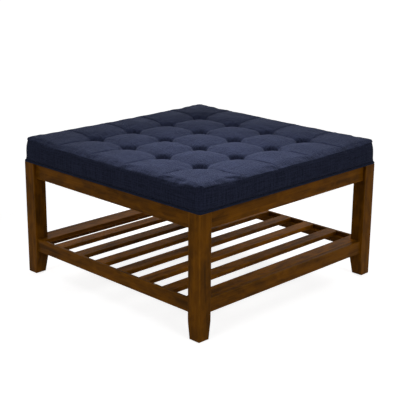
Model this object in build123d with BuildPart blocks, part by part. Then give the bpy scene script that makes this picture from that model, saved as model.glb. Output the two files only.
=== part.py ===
from build123d import *
from math import sqrt
import os

os.makedirs("parts", exist_ok=True)

# A square footrest: a tufted, board-backed cushion on four legs, with a slatted shelf below.
# Millimetres. The origin is on the floor under the middle, +Z is up and -Y is the front.
# The shelf slats run from left to right, along X.

# Overall
frame_width = 780.0
cushion_overhang = 3.5
frame_height = 368.0
cushion_side_height = 77.0
crown_rise = 5.0

# Legs and feet
leg_width = 45.0
foot_width = 38.0
taper_height = 52.0
edge_radius = 1.2
glide_height = 2.0
glide_radius = 9.0
glide_nail_radius = 1.2
glide_nail_length = 16.0

# Aprons, their dowels and the corner blocks
apron_height = 50.0
apron_thickness = 18.0
apron_setback = 11.0
apron_dowel_radius = 4.0
dowel_length = 30.0
dowel_spacing_share = 0.5
joint_clearance = 0.1
leg_flat_depth = 6.0
block_thickness = 28.0
block_height = 42.0
block_drop = 2.0

# Bolts and screws of the frame
bolt_radius = 4.0
bolt_depth = 30.0
bolt_proud = 12.0
washer_radius = 9.0
washer_thickness = 1.6
nut_width = 13.0
nut_height = 6.5
screw_radius = 2.0
screw_head_radius = 4.0
screw_head_height = 2.4
screw_recess = 1.2
screw_slot_width = 1.1
block_screw_length = 28.0
block_screw_grip = 14.0
block_screw_inset = 30.0
cushion_screw_length = 32.0
cushion_screw_grip = 20.0
cushion_screw_spread = 40.0

# Shelf
shelf_height = 118.0
rail_height = 41.0
rail_setback = 6.0
front_rail_thickness = 18.0
side_rail_thickness = 10.0
rail_dowel_radius = 3.0
slat_count = 8
slat_width = 42.0
slat_thickness = 13.0
slat_clearance = 0.3
cleat_width = 14.0
cleat_height = 12.0
small_screw_radius = 1.6
small_screw_head_radius = 3.2
small_screw_head_height = 1.8
slat_screw_length = 20.0
slat_screw_margin = 9.0
cleat_screw_length = 20.0

# Cushion
tuft_count = 4
tuft_pitch = 153.0
board_thickness = 12.0
cover_wall = 2.0
hem_thickness = 1.6
hem_width = 55.0
dust_cover_thickness = 0.6
dust_cover_margin = 16.0
soft_clearance = 0.3
welt_radius = 3.7
welt_corner_radius = 14.0
side_bulge = 3.5
shoulder_draw = 6.0
top_seam_drop = 8.0
pleat_drop = 10.0
tuft_drop = 19.0
edge_crest_drop = 4.5
edge_valley_drop = 6.5
dimple_radius = 27.0
dimple_depth = 17.0
button_radius = 11.0
button_height = 6.0
button_edge = 2.0
twine_radius = 0.9
twine_hole_radius = 2.2
twine_washer_radius = 8.0
twine_washer_thickness = 1.2
washer_pocket_depth = 2.4
staple_crown = 10.0
staple_wire = 1.0
staple_leg = 7.0
staples_per_side = 10
staple_inset = 9.0
overrun = 6.0

half_frame = frame_width / 2
leg_inner = half_frame - leg_width
leg_middle = half_frame - leg_width / 2
sides = (-1, 1)
corners = {
    "front_left": (-1, -1),
    "front_right": (1, -1),
    "back_left": (-1, 1),
    "back_right": (1, 1),
}


def finish(part, name):
    part.label = name
    export_step(part, f"parts/{name}.step")


UP = (Align.CENTER, Align.CENTER, Align.MIN)
DOWN = (Align.CENTER, Align.CENTER, Align.MAX)


def facing(places):
    """Turn points, each with the way that it faces, into locations."""
    return Locations(*[Plane(origin=place, z_dir=way).location for place, way in places])


def pin_set(places, radius, length):
    """Round pins centred on the given places, along the way that each faces."""
    with BuildPart() as pins:
        with facing(places):
            Cylinder(radius, length)
    return pins.part


def screw_set(places, length, radius, head_radius, head_height):
    """Countersunk screws with a cross recess: a place is the middle of the head's top."""
    with BuildPart() as screws:
        with facing(places):
            Cylinder(radius, length, align=DOWN)
            Cone(radius, head_radius, head_height, align=DOWN)
            Box(head_radius, screw_slot_width, screw_recess * 2, mode=Mode.SUBTRACT)
            Box(screw_slot_width, head_radius, screw_recess * 2, mode=Mode.SUBTRACT)
    return screws.part


def screw_hole_set(places, length, radius, head_radius, head_height, pocket):
    """Holes for the same screws, with a round pocket above each head."""
    with BuildPart() as holes:
        with facing(places):
            Cylinder(radius + joint_clearance, length + joint_clearance, align=DOWN)
            Cone(
                radius + joint_clearance,
                head_radius + joint_clearance,
                head_height + joint_clearance,
                align=DOWN,
            )
            Cylinder(head_radius + joint_clearance, pocket, align=UP)
    return holes.part


# Places of the dowels that join the aprons and the shelf rails to the legs
apron_middle = frame_height - apron_height / 2
apron_line = half_frame - apron_setback - apron_thickness / 2
rail_middle = shelf_height - rail_height / 2
front_rail_line = half_frame - rail_setback - front_rail_thickness / 2
side_rail_line = half_frame - rail_setback - side_rail_thickness / 2

apron_dowel_places = []
rail_dowel_places = []
for side_x in sides:
    for side_y in sides:
        for step in sides:
            apron_z = apron_middle + step * apron_height * dowel_spacing_share / 2
            rail_z = rail_middle + step * rail_height * dowel_spacing_share / 2
            apron_dowel_places += [
                ((side_x * leg_inner, side_y * apron_line, apron_z), (1, 0, 0)),
                ((side_x * apron_line, side_y * leg_inner, apron_z), (0, 1, 0)),
            ]
            rail_dowel_places += [
                ((side_x * leg_inner, side_y * front_rail_line, rail_z), (1, 0, 0)),
                ((side_x * side_rail_line, side_y * leg_inner, rail_z), (0, 1, 0)),
            ]

apron_dowels = pin_set(apron_dowel_places, apron_dowel_radius, dowel_length)
rail_dowels = pin_set(rail_dowel_places, rail_dowel_radius, dowel_length)
finish(apron_dowels, "apron_dowels")
finish(rail_dowels, "rail_dowels")

dowel_hole_length = dowel_length + joint_clearance * 2
apron_dowel_holes = pin_set(apron_dowel_places, apron_dowel_radius + joint_clearance, dowel_hole_length)
rail_dowel_holes = pin_set(rail_dowel_places, rail_dowel_radius + joint_clearance, dowel_hole_length)

# Corner blocks stand across each inner corner, from apron to apron, against a flat on the leg.
# Distances along the diagonal are from the middle of the footrest.
apron_inner = apron_line - apron_thickness / 2
flat_distance = leg_inner * sqrt(2) + leg_flat_depth
block_inner_distance = flat_distance - block_thickness
block_bottom = frame_height - block_drop - block_height
block_outer_reach = flat_distance * sqrt(2) - apron_inner
block_inner_reach = block_inner_distance * sqrt(2) - apron_inner


def on_diagonal(side_x, side_y, distance, z, across=0):
    """A point at a distance along a corner's diagonal, and a step across it."""
    x = side_x * (distance + across) / sqrt(2)
    y = side_y * (distance - across) / sqrt(2)
    return (x, y, z)


bolt_length = bolt_depth + block_thickness + bolt_proud
bolt_middle = flat_distance + bolt_depth - bolt_length / 2
nut_middle = block_inner_distance - washer_thickness - nut_height / 2
washer_middle = block_inner_distance - washer_thickness / 2

bolt_places = []
block_screw_places = []
cushion_screw_places = []
block_screw_line = leg_inner - block_screw_inset
block_screw_head = apron_inner - block_screw_grip
block_screw_rise = apron_height * dowel_spacing_share / 2
block_middle_distance = flat_distance - block_thickness / 2
cushion_screw_head = frame_height - cushion_screw_grip - block_drop
for side_x, side_y in corners.values():
    bolt_places.append((on_diagonal(side_x, side_y, bolt_middle, apron_middle), (side_x, side_y, 0)))
    for step in sides:
        z = apron_middle + step * block_screw_rise
        block_screw_places += [
            ((side_x * block_screw_head, side_y * block_screw_line, z), (-side_x, 0, 0)),
            ((side_x * block_screw_line, side_y * block_screw_head, z), (0, -side_y, 0)),
        ]
        place = on_diagonal(
            side_x, side_y, block_middle_distance, cushion_screw_head, step * cushion_screw_spread / 2
        )
        cushion_screw_places.append((place, (0, 0, -1)))

leg_bolts = pin_set(bolt_places, bolt_radius, bolt_length)
leg_bolt_holes = pin_set(bolt_places, bolt_radius + joint_clearance, bolt_length + joint_clearance)
finish(leg_bolts, "leg_bolts")

washer_places = [(on_diagonal(*side, washer_middle, apron_middle), (*side, 0)) for side in corners.values()]
with BuildPart() as leg_washers:
    add(pin_set(washer_places, washer_radius, washer_thickness))
    add(leg_bolt_holes, mode=Mode.SUBTRACT)
finish(leg_washers.part, "leg_washers")

with BuildPart() as leg_nuts:
    for side_x, side_y in corners.values():
        place = on_diagonal(side_x, side_y, nut_middle, apron_middle)
        with BuildSketch(Plane(origin=place, z_dir=(side_x, side_y, 0))):
            RegularPolygon(nut_width / 2, 6, major_radius=False)
        extrude(amount=nut_height / 2, both=True)
    add(leg_bolt_holes, mode=Mode.SUBTRACT)
finish(leg_nuts.part, "leg_nuts")

screw_sizes = (screw_radius, screw_head_radius, screw_head_height)
block_screws = screw_set(block_screw_places, block_screw_length, *screw_sizes)
block_screw_holes = screw_hole_set(
    block_screw_places, block_screw_length, *screw_sizes, block_thickness
)
finish(block_screws, "block_screws")

cushion_screws = screw_set(cushion_screw_places, cushion_screw_length, *screw_sizes)
cushion_screw_holes = screw_hole_set(
    cushion_screw_places, cushion_screw_length, *screw_sizes, block_height
)
finish(cushion_screws, "cushion_screws")

for corner, (side_x, side_y) in corners.items():
    with BuildPart() as corner_block:
        with BuildSketch(Plane.XY.offset(block_bottom)):
            with BuildLine():
                Polyline(
                    (side_x * apron_inner, side_y * block_inner_reach),
                    (side_x * apron_inner, side_y * block_outer_reach),
                    (side_x * block_outer_reach, side_y * apron_inner),
                    (side_x * block_inner_reach, side_y * apron_inner),
                    close=True,
                )
            make_face()
        extrude(amount=block_height)
        add(leg_bolt_holes, mode=Mode.SUBTRACT)
        add(block_screw_holes, mode=Mode.SUBTRACT)
        add(cushion_screw_holes, mode=Mode.SUBTRACT)
    finish(corner_block.part, f"corner_block_{corner}")

# Glides are plastic discs nailed under the feet.
foot_middle = half_frame - foot_width / 2
foot_centres = [(x * foot_middle, y * foot_middle) for x, y in corners.values()]
glide_nail_places = [((x, y, glide_height / 2 + glide_nail_length / 2), (0, 0, 1)) for x, y in foot_centres]
glide_nails = pin_set(glide_nail_places, glide_nail_radius, glide_nail_length)
glide_nail_holes = pin_set(
    glide_nail_places, glide_nail_radius + joint_clearance, glide_nail_length + joint_clearance
)
finish(glide_nails, "glide_nails")

with BuildPart() as leg_glides:
    with Locations(*foot_centres):
        Cylinder(glide_radius, glide_height, align=UP)
    chamfer(leg_glides.edges().group_by(Axis.Z)[0], glide_height / 4)
    add(glide_nail_holes, mode=Mode.SUBTRACT)
finish(leg_glides.part, "leg_glides")

# Legs are square and taper towards the foot on their two inner faces.
taper_top = glide_height + taper_height
foot_inner = half_frame - foot_width
for corner, (side_x, side_y) in corners.items():
    with BuildPart() as leg:
        with Locations((side_x * leg_middle, side_y * leg_middle, glide_height)):
            Box(leg_width, leg_width, frame_height - glide_height, align=UP)
        for plane, side in ((Plane.XZ, side_x), (Plane.YZ, side_y)):
            with BuildSketch(plane):
                with BuildLine():
                    Polyline(
                        (side * leg_inner, taper_top),
                        (side * leg_inner, glide_height),
                        (side * foot_inner, glide_height),
                        close=True,
                    )
                make_face()
            extrude(amount=frame_width, both=True, mode=Mode.SUBTRACT)
        upright = leg.edges().filter_by(lambda edge: abs((edge @ 1).Z - (edge @ 0).Z) > leg_width)
        fillet(upright, edge_radius)
        place = on_diagonal(side_x, side_y, flat_distance - leg_flat_depth, block_bottom)
        with Locations(Plane(origin=place, x_dir=(side_x, side_y, 0), z_dir=(0, 0, 1)).location):
            flat_height = block_height + block_drop + overrun
            Box(leg_flat_depth * 2, leg_width, flat_height, align=UP, mode=Mode.SUBTRACT)
        add(apron_dowel_holes, mode=Mode.SUBTRACT)
        add(rail_dowel_holes, mode=Mode.SUBTRACT)
        add(leg_bolt_holes, mode=Mode.SUBTRACT)
        add(glide_nail_holes, mode=Mode.SUBTRACT)
    finish(leg.part, f"leg_{corner}")

# Aprons and shelf rails run between the legs.
span = leg_inner * 2
for side, front_name, side_name in ((-1, "front", "left"), (1, "back", "right")):
    with BuildPart() as apron:
        with Locations((0, side * apron_line, apron_middle)):
            Box(span, apron_thickness, apron_height)
        fillet(apron.edges().filter_by(Axis.X), edge_radius)
        add(apron_dowel_holes, mode=Mode.SUBTRACT)
        add(block_screw_holes, mode=Mode.SUBTRACT)
    finish(apron.part, f"apron_{front_name}")

    with BuildPart() as side_apron:
        with Locations((side * apron_line, 0, apron_middle)):
            Box(apron_thickness, span, apron_height)
        fillet(side_apron.edges().filter_by(Axis.Y), edge_radius)
        add(apron_dowel_holes, mode=Mode.SUBTRACT)
        add(block_screw_holes, mode=Mode.SUBTRACT)
    finish(side_apron.part, f"apron_{side_name}")

# The shelf slats lie on cleats screwed inside the side rails, level with the tops of the rails.
side_rail_inner = side_rail_line - side_rail_thickness / 2
front_rail_inner = front_rail_line - front_rail_thickness / 2
slat_bottom = shelf_height - slat_thickness
cleat_line = side_rail_inner - cleat_width / 2
cleat_middle = slat_bottom - cleat_height / 2
slat_length = (side_rail_inner - slat_clearance) * 2
slat_pitch = ((front_rail_inner - slat_clearance) * 2 - slat_width) / (slat_count - 1)
first_slat_line = front_rail_inner - slat_clearance - slat_width / 2
slat_lines = [first_slat_line - slat_pitch * i for i in range(slat_count)]
slat_screw_reach = leg_inner - slat_screw_margin
slat_screw_head = slat_bottom - cleat_height
cleat_screw_head = side_rail_inner - cleat_width
leg_notch_width = leg_width + slat_clearance * 2

slat_screw_places = []
cleat_screw_places = []
for side in sides:
    for y in slat_lines:
        reach = max(-slat_screw_reach, min(slat_screw_reach, y))
        slat_screw_places.append(((side * cleat_line, reach, slat_screw_head), (0, 0, -1)))
    for y in slat_lines[1:-1:2]:
        gap_line = y - slat_pitch / 2
        cleat_screw_places.append(((side * cleat_screw_head, gap_line, cleat_middle), (-side, 0, 0)))

small_screw_sizes = (small_screw_radius, small_screw_head_radius, small_screw_head_height)
slat_screws = screw_set(slat_screw_places, slat_screw_length, *small_screw_sizes)
slat_screw_holes = screw_hole_set(slat_screw_places, slat_screw_length, *small_screw_sizes, overrun)
cleat_screws = screw_set(cleat_screw_places, cleat_screw_length, *small_screw_sizes)
cleat_screw_holes = screw_hole_set(cleat_screw_places, cleat_screw_length, *small_screw_sizes, overrun)
finish(slat_screws, "slat_screws")
finish(cleat_screws, "cleat_screws")

for side, front_name, side_name in ((-1, "front", "left"), (1, "back", "right")):
    with BuildPart() as front_rail:
        with Locations((0, side * front_rail_line, rail_middle)):
            Box(span, front_rail_thickness, rail_height)
        fillet(front_rail.edges().filter_by(Axis.X), edge_radius)
        add(rail_dowel_holes, mode=Mode.SUBTRACT)
    finish(front_rail.part, f"shelf_rail_{front_name}")

    with BuildPart() as side_rail:
        with Locations((side * side_rail_line, 0, rail_middle)):
            Box(side_rail_thickness, span, rail_height)
        fillet(side_rail.edges().filter_by(Axis.Y), edge_radius)
        add(rail_dowel_holes, mode=Mode.SUBTRACT)
        add(cleat_screw_holes, mode=Mode.SUBTRACT)
    finish(side_rail.part, f"shelf_rail_{side_name}")

    with BuildPart() as cleat:
        with Locations((side * cleat_line, 0, cleat_middle)):
            Box(cleat_width, span, cleat_height)
        add(slat_screw_holes, mode=Mode.SUBTRACT)
        add(cleat_screw_holes, mode=Mode.SUBTRACT)
    finish(cleat.part, f"slat_cleat_{side_name}")

for number, y in enumerate(slat_lines, 1):
    with BuildPart() as slat:
        with Locations((0, y, slat_bottom + slat_thickness / 2)):
            Box(slat_length, slat_width, slat_thickness)
        fillet(slat.edges().filter_by(Axis.X), edge_radius)
        for side_x, side_y in corners.values():
            with Locations((side_x * leg_middle, side_y * leg_middle, slat_bottom)):
                Box(leg_notch_width, leg_notch_width, slat_thickness * 4, mode=Mode.SUBTRACT)
        add(slat_screw_holes, mode=Mode.SUBTRACT)
    finish(slat.part, f"shelf_slat_{number}")

# Cushion. Heights are from the floor, and widths are halves from the middle.
half_cushion = half_frame + cushion_overhang
top_seam_height = frame_height + cushion_side_height
crown_height = top_seam_height + crown_rise
hem_bottom = frame_height + dust_cover_thickness
board_bottom = hem_bottom + hem_thickness
board_top = board_bottom + board_thickness
skirt_half = half_cushion - welt_radius * 2 - soft_clearance / 2
ledge_height = frame_height + (welt_radius + soft_clearance) * 2
tuft_lines = [tuft_pitch * (i - (tuft_count - 1) / 2) for i in range(tuft_count)]
tuft_places = [(x, y) for x in tuft_lines for y in tuft_lines]
tuft_floor = crown_height - tuft_drop - dimple_depth

# The side band leans out from the ledge above the welt, bulges and draws in at its shoulder.
band_height_shares = (0, 0.22, 0.5, 0.8, 0.94, 1)
band_bulge_shares = (0.6, 0.25, 0, 0, 0, 0)
band_shoulder_shares = (0, 0, 0, 0.12, 0.45, 1)
band_shares = list(zip(band_height_shares, band_bulge_shares, band_shoulder_shares))


def rounded_square(half, radius):
    RectangleRounded(half * 2, half * 2, radius)


def cushion_form(inset, bottom):
    """The cushion's outer form, drawn in all over by an inset, down to a given height."""
    edge_line = half_cushion + overrun
    lines = [-edge_line] + tuft_lines + [edge_line]
    last = len(lines) - 1
    ledge = ledge_height + inset
    band_top = top_seam_height + overrun

    def height(row_is_edge, row_is_middle, place_is_edge, place_is_middle):
        """How high the padding stands where two lines of the tufting grid meet."""
        if row_is_edge or place_is_edge:
            drop = edge_crest_drop if row_is_middle or place_is_middle else edge_valley_drop
        elif row_is_middle and place_is_middle:
            drop = 0
        elif row_is_middle or place_is_middle:
            drop = pleat_drop
        else:
            drop = tuft_drop
        return crown_height - drop - inset

    with BuildPart() as form:
        for i in range(last):
            rows = (
                (lines[i], i == 0, False),
                ((lines[i] + lines[i + 1]) / 2, False, True),
                (lines[i + 1], i + 1 == last, False),
            )
            for x, is_edge, is_middle in rows:
                with BuildSketch(Plane.YZ.offset(x)):
                    with BuildLine():
                        for j in range(last):
                            start = (lines[j], height(is_edge, is_middle, j == 0, False))
                            middle_y = (lines[j] + lines[j + 1]) / 2
                            middle = (middle_y, height(is_edge, is_middle, False, True))
                            end = (lines[j + 1], height(is_edge, is_middle, j + 1 == last, False))
                            ThreePointArc(start, middle, end)
                        right_top = (edge_line, height(is_edge, is_middle, True, False))
                        left_top = (-edge_line, height(is_edge, is_middle, True, False))
                        Polyline(right_top, (edge_line, bottom), (-edge_line, bottom), left_top)
                    make_face()
            loft()
    top_form = form.part

    with BuildPart() as body:
        if bottom < ledge:
            with BuildSketch(Plane.XY.offset(bottom)):
                rounded_square(skirt_half - inset, welt_corner_radius - inset)
            extrude(amount=ledge - bottom)
        for height_share, bulge_share, shoulder_share in band_shares:
            z = ledge + (band_top - ledge) * height_share
            draw = side_bulge * bulge_share + shoulder_draw * shoulder_share
            with BuildSketch(Plane.XY.offset(z)):
                rounded_square(half_cushion - inset - draw, welt_corner_radius - inset)
        loft()
        with BuildSketch(Plane.XY.offset(band_top)):
            rounded_square(half_cushion - inset - shoulder_draw, welt_corner_radius - inset)
        extrude(amount=crown_rise)
        if bottom > ledge:
            split(bisect_by=Plane.XY.offset(bottom), keep=Keep.TOP)
        add(top_form, mode=Mode.INTERSECT)
        with Locations(*[(x, y, tuft_floor - inset) for x, y in tuft_places]):
            Cone(
                button_radius + soft_clearance + inset,
                dimple_radius + inset,
                dimple_depth + pleat_drop,
                align=UP,
                mode=Mode.SUBTRACT,
            )
    return body.part


outer_form = cushion_form(0, hem_bottom)
lining_form = cushion_form(cover_wall, board_bottom)
foam_form = cushion_form(cover_wall + soft_clearance, board_top)

washer_top = board_bottom + washer_pocket_depth

# Buttons are domed discs at the bottom of the dimples, tied down through foam and board.
with BuildPart() as tuft_button:
    with BuildSketch(Plane.XZ):
        with BuildLine():
            dome_height = button_height - button_edge
            dome_radius = (button_radius**2 + dome_height**2) / dome_height / 2
            RadiusArc((button_radius, button_edge), (0, button_height), -dome_radius)
            Polyline((0, button_height), (0, 0), (button_radius, 0), (button_radius, button_edge))
        make_face()
    revolve(axis=Axis.Z)

with BuildPart() as tuft_buttons:
    with Locations(*[(x, y, tuft_floor) for x, y in tuft_places]):
        add(tuft_button.part)
finish(tuft_buttons.part, "tuft_buttons")

with BuildPart() as twine_washers:
    with Locations(*[(x, y, washer_top) for x, y in tuft_places]):
        Cylinder(twine_washer_radius, twine_washer_thickness, align=DOWN)
        Cylinder(twine_radius + joint_clearance, twine_washer_thickness * 4, mode=Mode.SUBTRACT)
finish(twine_washers.part, "twine_washers")

knot_top = washer_top - twine_washer_thickness
with BuildPart() as tuft_twines:
    with Locations(*[(x, y, knot_top) for x, y in tuft_places]):
        Cylinder(twine_radius, tuft_floor - knot_top, align=UP)
        Cylinder(twine_radius * 2, twine_radius, align=DOWN)
finish(tuft_twines.part, "tuft_twines")

with BuildPart() as twine_holes:
    with Locations(*[(x, y, hem_bottom) for x, y in tuft_places]):
        Cylinder(twine_hole_radius, tuft_floor - hem_bottom, align=UP)
        Cylinder(twine_washer_radius + soft_clearance, washer_top - hem_bottom, align=UP)

# One row of staples holds the hem and the dust cover to the board, inside the aprons.
staple_line = apron_inner - staple_inset
staple_reach = block_screw_line
staple_step = staple_reach * 2 / (staples_per_side - 1)
staple_row = [Location((staple_line, staple_step * i - staple_reach, 0)) for i in range(staples_per_side)]
staple_places = [
    Location((0, 0, frame_height), (0, 0, turn * 90)) * place for turn in range(4) for place in staple_row
]
with BuildPart() as cover_staples:
    with Locations(*staple_places):
        Box(staple_wire, staple_crown, staple_wire, align=DOWN)
        with Locations((0, (staple_crown - staple_wire) / 2), (0, (staple_wire - staple_crown) / 2)):
            Box(staple_wire, staple_wire, staple_leg, align=UP)
finish(cover_staples.part, "cover_staples")

with BuildPart() as cushion_board:
    with BuildSketch(Plane.XY.offset(board_bottom)):
        board_gap = cover_wall + soft_clearance
        rounded_square(skirt_half - board_gap, welt_corner_radius - board_gap)
    extrude(amount=board_thickness)
    add(twine_holes.part, mode=Mode.SUBTRACT)
    add(cushion_screw_holes, mode=Mode.SUBTRACT)
    add(cover_staples.part, mode=Mode.SUBTRACT)
finish(cushion_board.part, "cushion_board")

with BuildPart() as cushion_foam:
    add(foam_form)
    add(twine_holes.part, mode=Mode.SUBTRACT)
finish(cushion_foam.part, "cushion_foam")

# The cover is a sewn skin: a top panel, and a side band that turns under the board as a hem.
seam_height = top_seam_height - top_seam_drop
with BuildPart() as cushion_cover:
    add(outer_form)
    add(lining_form, mode=Mode.SUBTRACT)
    add(twine_holes.part, mode=Mode.SUBTRACT)
    with BuildSketch(Plane.XY.offset(hem_bottom)):
        Rectangle((skirt_half - hem_width) * 2, (skirt_half - hem_width) * 2)
    extrude(amount=hem_thickness, mode=Mode.SUBTRACT)
    add(cushion_screw_holes, mode=Mode.SUBTRACT)
    add(cover_staples.part, mode=Mode.SUBTRACT)

with BuildPart() as band_zone:
    with BuildSketch(Plane.XY.offset(hem_bottom)):
        Rectangle((half_cushion + overrun) * 2, (half_cushion + overrun) * 2)
        Rectangle((skirt_half - hem_width) * 2, (skirt_half - hem_width) * 2, mode=Mode.SUBTRACT)
    extrude(amount=seam_height - hem_bottom)

with BuildPart() as cover_top:
    add(cushion_cover.part)
    add(band_zone.part, mode=Mode.SUBTRACT)
finish(cover_top.part, "cover_top")

with BuildPart() as cover_band:
    add(cushion_cover.part)
    add(band_zone.part, mode=Mode.INTERSECT)
finish(cover_band.part, "cover_band")

# The welt is a covered cord that runs round the bottom edge, in the groove under the band.
welt_line = skirt_half + soft_clearance / 2 + welt_radius
welt_height = frame_height + soft_clearance + welt_radius
welt_turn = welt_corner_radius + welt_line - skirt_half
with BuildPart() as welt_cord:
    with BuildLine(Plane.XY.offset(welt_height)):
        straight = welt_line - welt_turn
        run = Line((0, -welt_line), (straight, -welt_line))
        for turn in range(4):
            bend = JernArc(run @ 1, run % 1, welt_turn, 90)
            length = straight if turn == 3 else straight * 2
            run = Line(bend @ 1, bend @ 1 + (bend % 1) * length)
    with BuildSketch(Plane(origin=(0, -welt_line, welt_height), z_dir=(1, 0, 0))):
        Circle(welt_radius)
    sweep()
finish(welt_cord.part, "welt_cord")

# The dust cover is a thin cloth stapled under the board, so that the frame's top presses it.
with BuildPart() as dust_cover:
    with BuildSketch(Plane.XY.offset(frame_height)):
        dust_half = half_frame - dust_cover_margin
        rounded_square(dust_half, welt_corner_radius)
    extrude(amount=dust_cover_thickness)
    add(cushion_screw_holes, mode=Mode.SUBTRACT)
    add(cover_staples.part, mode=Mode.SUBTRACT)
finish(dust_cover.part, "dust_cover")
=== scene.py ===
from math import cos, pi, radians, sin

import bmesh
import bpy
import numpy as np
from mathutils import Matrix, Vector, noise


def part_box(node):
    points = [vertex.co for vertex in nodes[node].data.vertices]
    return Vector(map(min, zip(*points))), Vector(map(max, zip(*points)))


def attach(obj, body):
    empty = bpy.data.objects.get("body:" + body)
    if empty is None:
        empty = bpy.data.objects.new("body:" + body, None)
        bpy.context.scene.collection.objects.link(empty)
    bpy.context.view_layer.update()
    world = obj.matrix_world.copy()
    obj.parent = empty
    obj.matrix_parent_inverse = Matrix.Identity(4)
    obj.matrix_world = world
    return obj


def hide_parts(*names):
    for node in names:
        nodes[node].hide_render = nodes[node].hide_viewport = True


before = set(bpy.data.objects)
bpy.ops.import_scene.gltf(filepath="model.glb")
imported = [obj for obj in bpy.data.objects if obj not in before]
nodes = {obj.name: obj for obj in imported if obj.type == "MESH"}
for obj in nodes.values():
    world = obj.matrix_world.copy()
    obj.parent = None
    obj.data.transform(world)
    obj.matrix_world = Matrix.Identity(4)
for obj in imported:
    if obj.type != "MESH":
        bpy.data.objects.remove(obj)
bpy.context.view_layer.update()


# Legs. Four square hardwood posts, whose two inner faces taper over the last 50 mm. The wood
# is stained walnut under a thin matt lacquer, which is worn a little lighter along the edges.

def shade(red, green, blue):
    """A colour as a screen shows it, from 0 to 255, as the linear colour that a shader takes."""
    parts = [value / 255 for value in (red, green, blue)]
    return [p / 12.92 if p <= 0.04045 else ((p + 0.055) / 1.055) ** 2.4 for p in parts] + [1.0]


def feed(tree, node, feeds):
    """Feed a node's sockets from other sockets, or set them to values."""
    for socket, value in feeds.items():
        if isinstance(value, bpy.types.NodeSocket):
            tree.links.new(value, node.inputs[socket])
        else:
            node.inputs[socket].default_value = value


def put(tree, kind, feeds=None, **fields):
    """Add a node to a tree, set its fields and feed its sockets."""
    made = tree.nodes.new(kind)
    for field, value in fields.items():
        setattr(made, field, value)
    feed(tree, made, feeds or {})
    return made


def reckon(tree, operation, *values, kind="Math"):
    """The result of a Math node, or of a Vector Math node."""
    feeds = dict(enumerate(values))
    return put(tree, "ShaderNode" + kind, feeds, operation=operation).outputs[0]


def blend_colours(tree, share, first, second):
    """The result of mixing two colours."""
    feeds = {0: share, 6: first, 7: second}
    return put(tree, "ShaderNodeMix", feeds, data_type="RGBA").outputs[2]


def spread(tree, value, low, high, to_low=0.0, to_high=1.0):
    """A number that goes gently from one end to the other while a value goes from low to high."""
    feeds = {0: value, 1: low, 2: high, 3: to_low, 4: to_high}
    return put(tree, "ShaderNodeMapRange", feeds, interpolation_type="SMOOTHSTEP").outputs[0]


def mottle(tree, place, scale, detail, distortion=0.0):
    """Soft random mottling from 0 to 1, with about as many patches to the metre as its scale."""
    feeds = {"Vector": place, "Scale": scale, "Detail": detail, "Distortion": distortion}
    return put(tree, "ShaderNodeTexNoise", feeds).outputs[0]


def streaks(tree, place, stretch, detail, distortion=0.0):
    """Mottling that is drawn out, with its own number of patches to the metre on each axis."""
    stretched = reckon(tree, "MULTIPLY", place, stretch, kind="VectorMath")
    return mottle(tree, stretched, 1.0, detail, distortion)


def relief(tree, height, strength, depth):
    """The small bumps that a height gives a surface."""
    feeds = {"Height": height, "Strength": strength, "Distance": depth}
    return put(tree, "ShaderNodeBump", feeds).outputs[0]


def new_tree(name, kind, inputs, outputs):
    """A new node tree with named sockets: the tree, what it is given, and its output node."""
    tree = bpy.data.node_groups.new(name, kind + "NodeTree")
    for side, sockets in (("INPUT", inputs), ("OUTPUT", outputs)):
        for label, holds in sockets:
            tree.interface.new_socket(label, in_out=side, socket_type="NodeSocket" + holds)
    return tree, tree.nodes.new("NodeGroupInput").outputs, tree.nodes.new("NodeGroupOutput")


def wood_grain():
    """Grain that runs along X: broad figure, fine streaks, soft blotches and short pores."""
    tree, given, out = new_tree(
        "wood_grain",
        "Shader",
        [("Place", "Vector"), ("Dark", "Color"), ("Light", "Color"), ("Pore Depth", "Float")],
        [("Color", "Color"), ("Roughness", "Float"), ("Height", "Float")],
    )
    # In each row: patches to the metre on each axis, detail, wander, and the bounds of the marks.
    figure, grain, blotch, pores = (
        spread(tree, streaks(tree, given["Place"], stretch, detail, wander), low, high)
        for stretch, detail, wander, low, high in (
            ((3.0, 34.0, 34.0), 3.0, 0.9, 0.3, 0.7),
            ((7.0, 330.0, 330.0), 4.0, 0.4, 0.3, 0.7),
            ((18.0, 38.0, 38.0), 2.0, 0.5, 0.35, 0.65),
            ((45.0, 1500.0, 1500.0), 2.0, 0.0, 0.62, 0.72),
        )
    )
    figure_share, grain_share, blotch_share = 0.42, 0.22, 0.36
    share = reckon(tree, "MULTIPLY", figure, figure_share)
    share = reckon(tree, "MULTIPLY_ADD", grain, grain_share, share)
    share = reckon(tree, "MULTIPLY_ADD", blotch, blotch_share, share)
    colour = blend_colours(tree, share, given["Dark"], given["Light"])
    pore_share = reckon(tree, "MULTIPLY", pores, given["Pore Depth"])
    pore_colour = shade(24, 12, 4)
    base_roughness, grain_polish, pore_roughness = 0.52, -0.1, 0.15
    roughness = reckon(tree, "MULTIPLY_ADD", grain, grain_polish, base_roughness)
    grain_height = reckon(tree, "MULTIPLY", grain, 0.3)
    feed(tree, out, {
        "Color": blend_colours(tree, pore_share, colour, pore_colour),
        "Roughness": reckon(tree, "MULTIPLY_ADD", pores, pore_roughness, roughness),
        "Height": reckon(tree, "SUBTRACT", grain_height, pores),
    })
    return tree


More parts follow.
